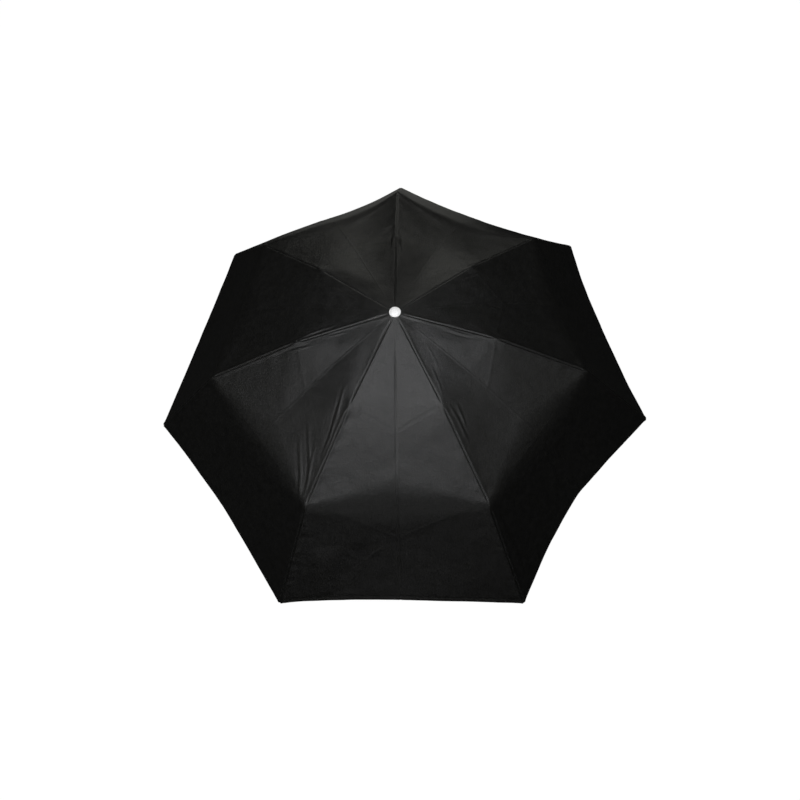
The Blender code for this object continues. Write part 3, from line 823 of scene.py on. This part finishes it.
def make_hardware():
    """Everything but the cloth."""
    steel = metal_material("blackened_steel", (0.022, 0.022, 0.024), 0.55, 0.38)
    chrome = metal_material("bright_steel", (0.56, 0.56, 0.58), 1.0, 0.2)
    silver = plain_material("silver_cap", (0.92, 0.92, 0.91), 0.0, 0.3, 900, 0.00005)
    plastic = plain_material("black_plastic", (0.012, 0.012, 0.013), 0.0, 0.42, 1500, 0.00006)
    rubber = plain_material("handle_rubber", (0.013, 0.013, 0.014), 0.0, 0.62, 2200, 0.00012)
    thread = plain_material("black_thread", (0.012, 0.012, 0.013), 0.0, 0.8, 3000, 0.0001)
    for rib in range(RIBS):
        for part in ("top_rib", "mid_rib", "end_rib", "stretcher", "control_link"):
            refine(f"{part}_{rib}", steel, "blackened_steel")
        refine(f"rib_tip_{rib}", plastic, "black_plastic", 0.00025)
    refine("crown", plastic, "black_plastic", 0.0003)
    refine("runner", plastic, "black_plastic", 0.0003)
    refine("crown_wire", chrome, "bright_steel", 0)
    spring = refine("button_spring", chrome, "bright_steel", 0)
    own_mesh(spring)
    make_cap(silver)
    make_shaft(chrome)
    make_handle(rubber, plastic)
    make_button(plastic, chrome)
    make_ties(thread)
    make_control_wires(steel)
    make_runner_wire(chrome)


# --- Stage -----------------------------------------------------------------------------------


def make_camera():
    """Above and in front of the canopy, a little to the right, and tilted."""
    az, el, roll = (math.radians(a) for a in (5.63, 61.16, -6.06))
    away = 1.1502
    target = Vector((-0.0054, 0, 0.5126))
    back = Vector((math.sin(az) * math.cos(el), -math.cos(az) * math.cos(el), math.sin(el)))
    right = Vector((math.cos(az), math.sin(az), 0))
    up = back.cross(right)
    x = right * math.cos(roll) + up * math.sin(roll)
    y = up * math.cos(roll) - right * math.sin(roll)
    camera = bpy.data.cameras.new("camera")
    camera.lens = 29.6415
    camera.shift_x, camera.shift_y = 0.00825, -0.0899
    camera.clip_start, camera.clip_end = 0.01, 50
    obj = bpy.data.objects.new("camera", camera)
    obj.matrix_world = Matrix.Translation(target + back * away) @ Matrix((x, y, back)).transposed().to_4x4()
    bpy.context.scene.collection.objects.link(obj)
    bpy.context.scene.camera = obj


def area_light(name, place, target, size, power, colour):
    light = bpy.data.lights.new(name, "AREA")
    light.shape, light.size, light.size_y = "RECTANGLE", size[0], size[1]
    light.energy, light.color = power, colour
    obj = bpy.data.objects.new(name, light)
    way = Vector(target) - Vector(place)
    obj.matrix_world = Matrix.Translation(place) @ way.to_track_quat("-Z", "Y").to_matrix().to_4x4()
    obj.visible_camera = False
    bpy.context.scene.collection.objects.link(obj)


ROOM = 0.012  # the world's strength and the floor's grey, to any ray that isn't the camera's
COOL, WHITE, WARM = (0.97, 0.98, 1.0), (1.0, 1.0, 1.0), (1.0, 1.0, 0.93)
STAGE_MIDDLE = Vector((0, 0, 0.5))
SOFT_BOX_AWAY, SOFT_BOX_SIZE = 2.2, 0.65
# Each soft box: how many degrees it leans from overhead, to the right and to the back, its watts and its
# colour.
SOFT_BOXES = (
    ("overhead", (0, 0), 8.6, COOL),
    ("overhead_left", (-15, 2), 3.0, COOL),
    ("overhead_right", (15, 2), 4.0, COOL),
    ("front_high", (0, -24), 5.4, COOL),
    ("front_left_high", (-26, -22), 6.4, WHITE),
    ("front_right_high", (26, -22), 1.8, WHITE),
    ("front_left_low", (-42, -40), 1.0, WHITE),
    ("front_low", (-4, -74), 1.6, WHITE),
    ("right", (50, 0), 0.9, WARM),
    ("left_low", (-72, 0), 0.9, WARM),
    ("right_low", (72, 0), 0.25, WARM),
    ("back_left", (-25, 72), 1.9, WARM),
    ("back_right", (25, 72), 1.9, WARM),
)


def make_floor():
    """Pale to look at, but dark to every other ray, so it doesn't light the cloth from below."""
    radius, steps = 3.5, 64
    turns = [2 * math.pi * n / steps for n in range(steps)]
    ring = [(radius * math.cos(t), radius * math.sin(t), -0.0005) for t in turns]
    mesh = bpy.data.meshes.new("floor")
    mesh.from_pydata(ring, [], [list(range(steps))])
    floor = bpy.data.objects.new("floor", mesh)
    bpy.context.scene.collection.objects.link(floor)
    m = Nodes("floor")
    m.set(Base_Color=(*grey(ROOM), 1), Roughness=0.9, Emission_Color=(1, 1, 1, 1))
    seen = m.add("ShaderNodeLightPath")
    m.link(seen, "Is Camera Ray", m.shader, "Emission Strength")
    mesh.materials.append(m.made)


def make_world():
    """White behind everything, and nearly dark to every other ray."""
    world = bpy.data.worlds.new("studio")
    world.use_nodes = True
    tree = world.node_tree
    background = tree.nodes["Background"]
    background.inputs["Color"].default_value = (1, 1, 1, 1)
    seen = tree.nodes.new("ShaderNodeLightPath")
    strength = tree.nodes.new("ShaderNodeMath")
    strength.operation = "MAXIMUM"
    strength.inputs[1].default_value = ROOM
    tree.links.new(seen.outputs["Is Camera Ray"], strength.inputs[0])
    tree.links.new(strength.outputs[0], background.inputs["Strength"])
    bpy.context.scene.world = world
    bpy.context.scene.view_settings.view_transform = "Standard"


def make_soft_boxes():
    size = (SOFT_BOX_SIZE, SOFT_BOX_SIZE)
    for name, lean, power, colour in SOFT_BOXES:
        way = Vector((math.tan(math.radians(lean[0])), math.tan(math.radians(lean[1])), 1)).normalized()
        place = STAGE_MIDDLE + way * SOFT_BOX_AWAY
        area_light(name, tuple(place), tuple(STAGE_MIDDLE), size, power, colour)


def make_cap_light():
    """A narrow lamp that picks out the cap."""
    light = bpy.data.lights.new("cap_light", "SPOT")
    light.energy = 220
    light.spot_size = math.radians(1.6)
    light.spot_blend = 0.6
    light.shadow_soft_size = 0.04
    obj = bpy.data.objects.new("cap_light", light)
    bpy.context.scene.collection.objects.link(obj)
    obj.location = (0.25, -1.3, 2.5)
    obj.rotation_euler = (Vector((0, 0, CROWN_Z)) - obj.location).to_track_quat("-Z", "Y").to_euler()
    obj.visible_camera = False


def make_back_card():
    """A bright card on the floor behind, which catches the back hem."""
    place = (-0.1, 1.05, 0.002)
    area_light("floor_behind", place, (place[0], place[1], 1), (0.8, 0.5), 0.3, WARM)


def main():
    make_camera()
    make_floor()
    make_world()
    make_soft_boxes()
    make_cap_light()
    make_back_card()
    make_canopy()
    make_hardware()


main()
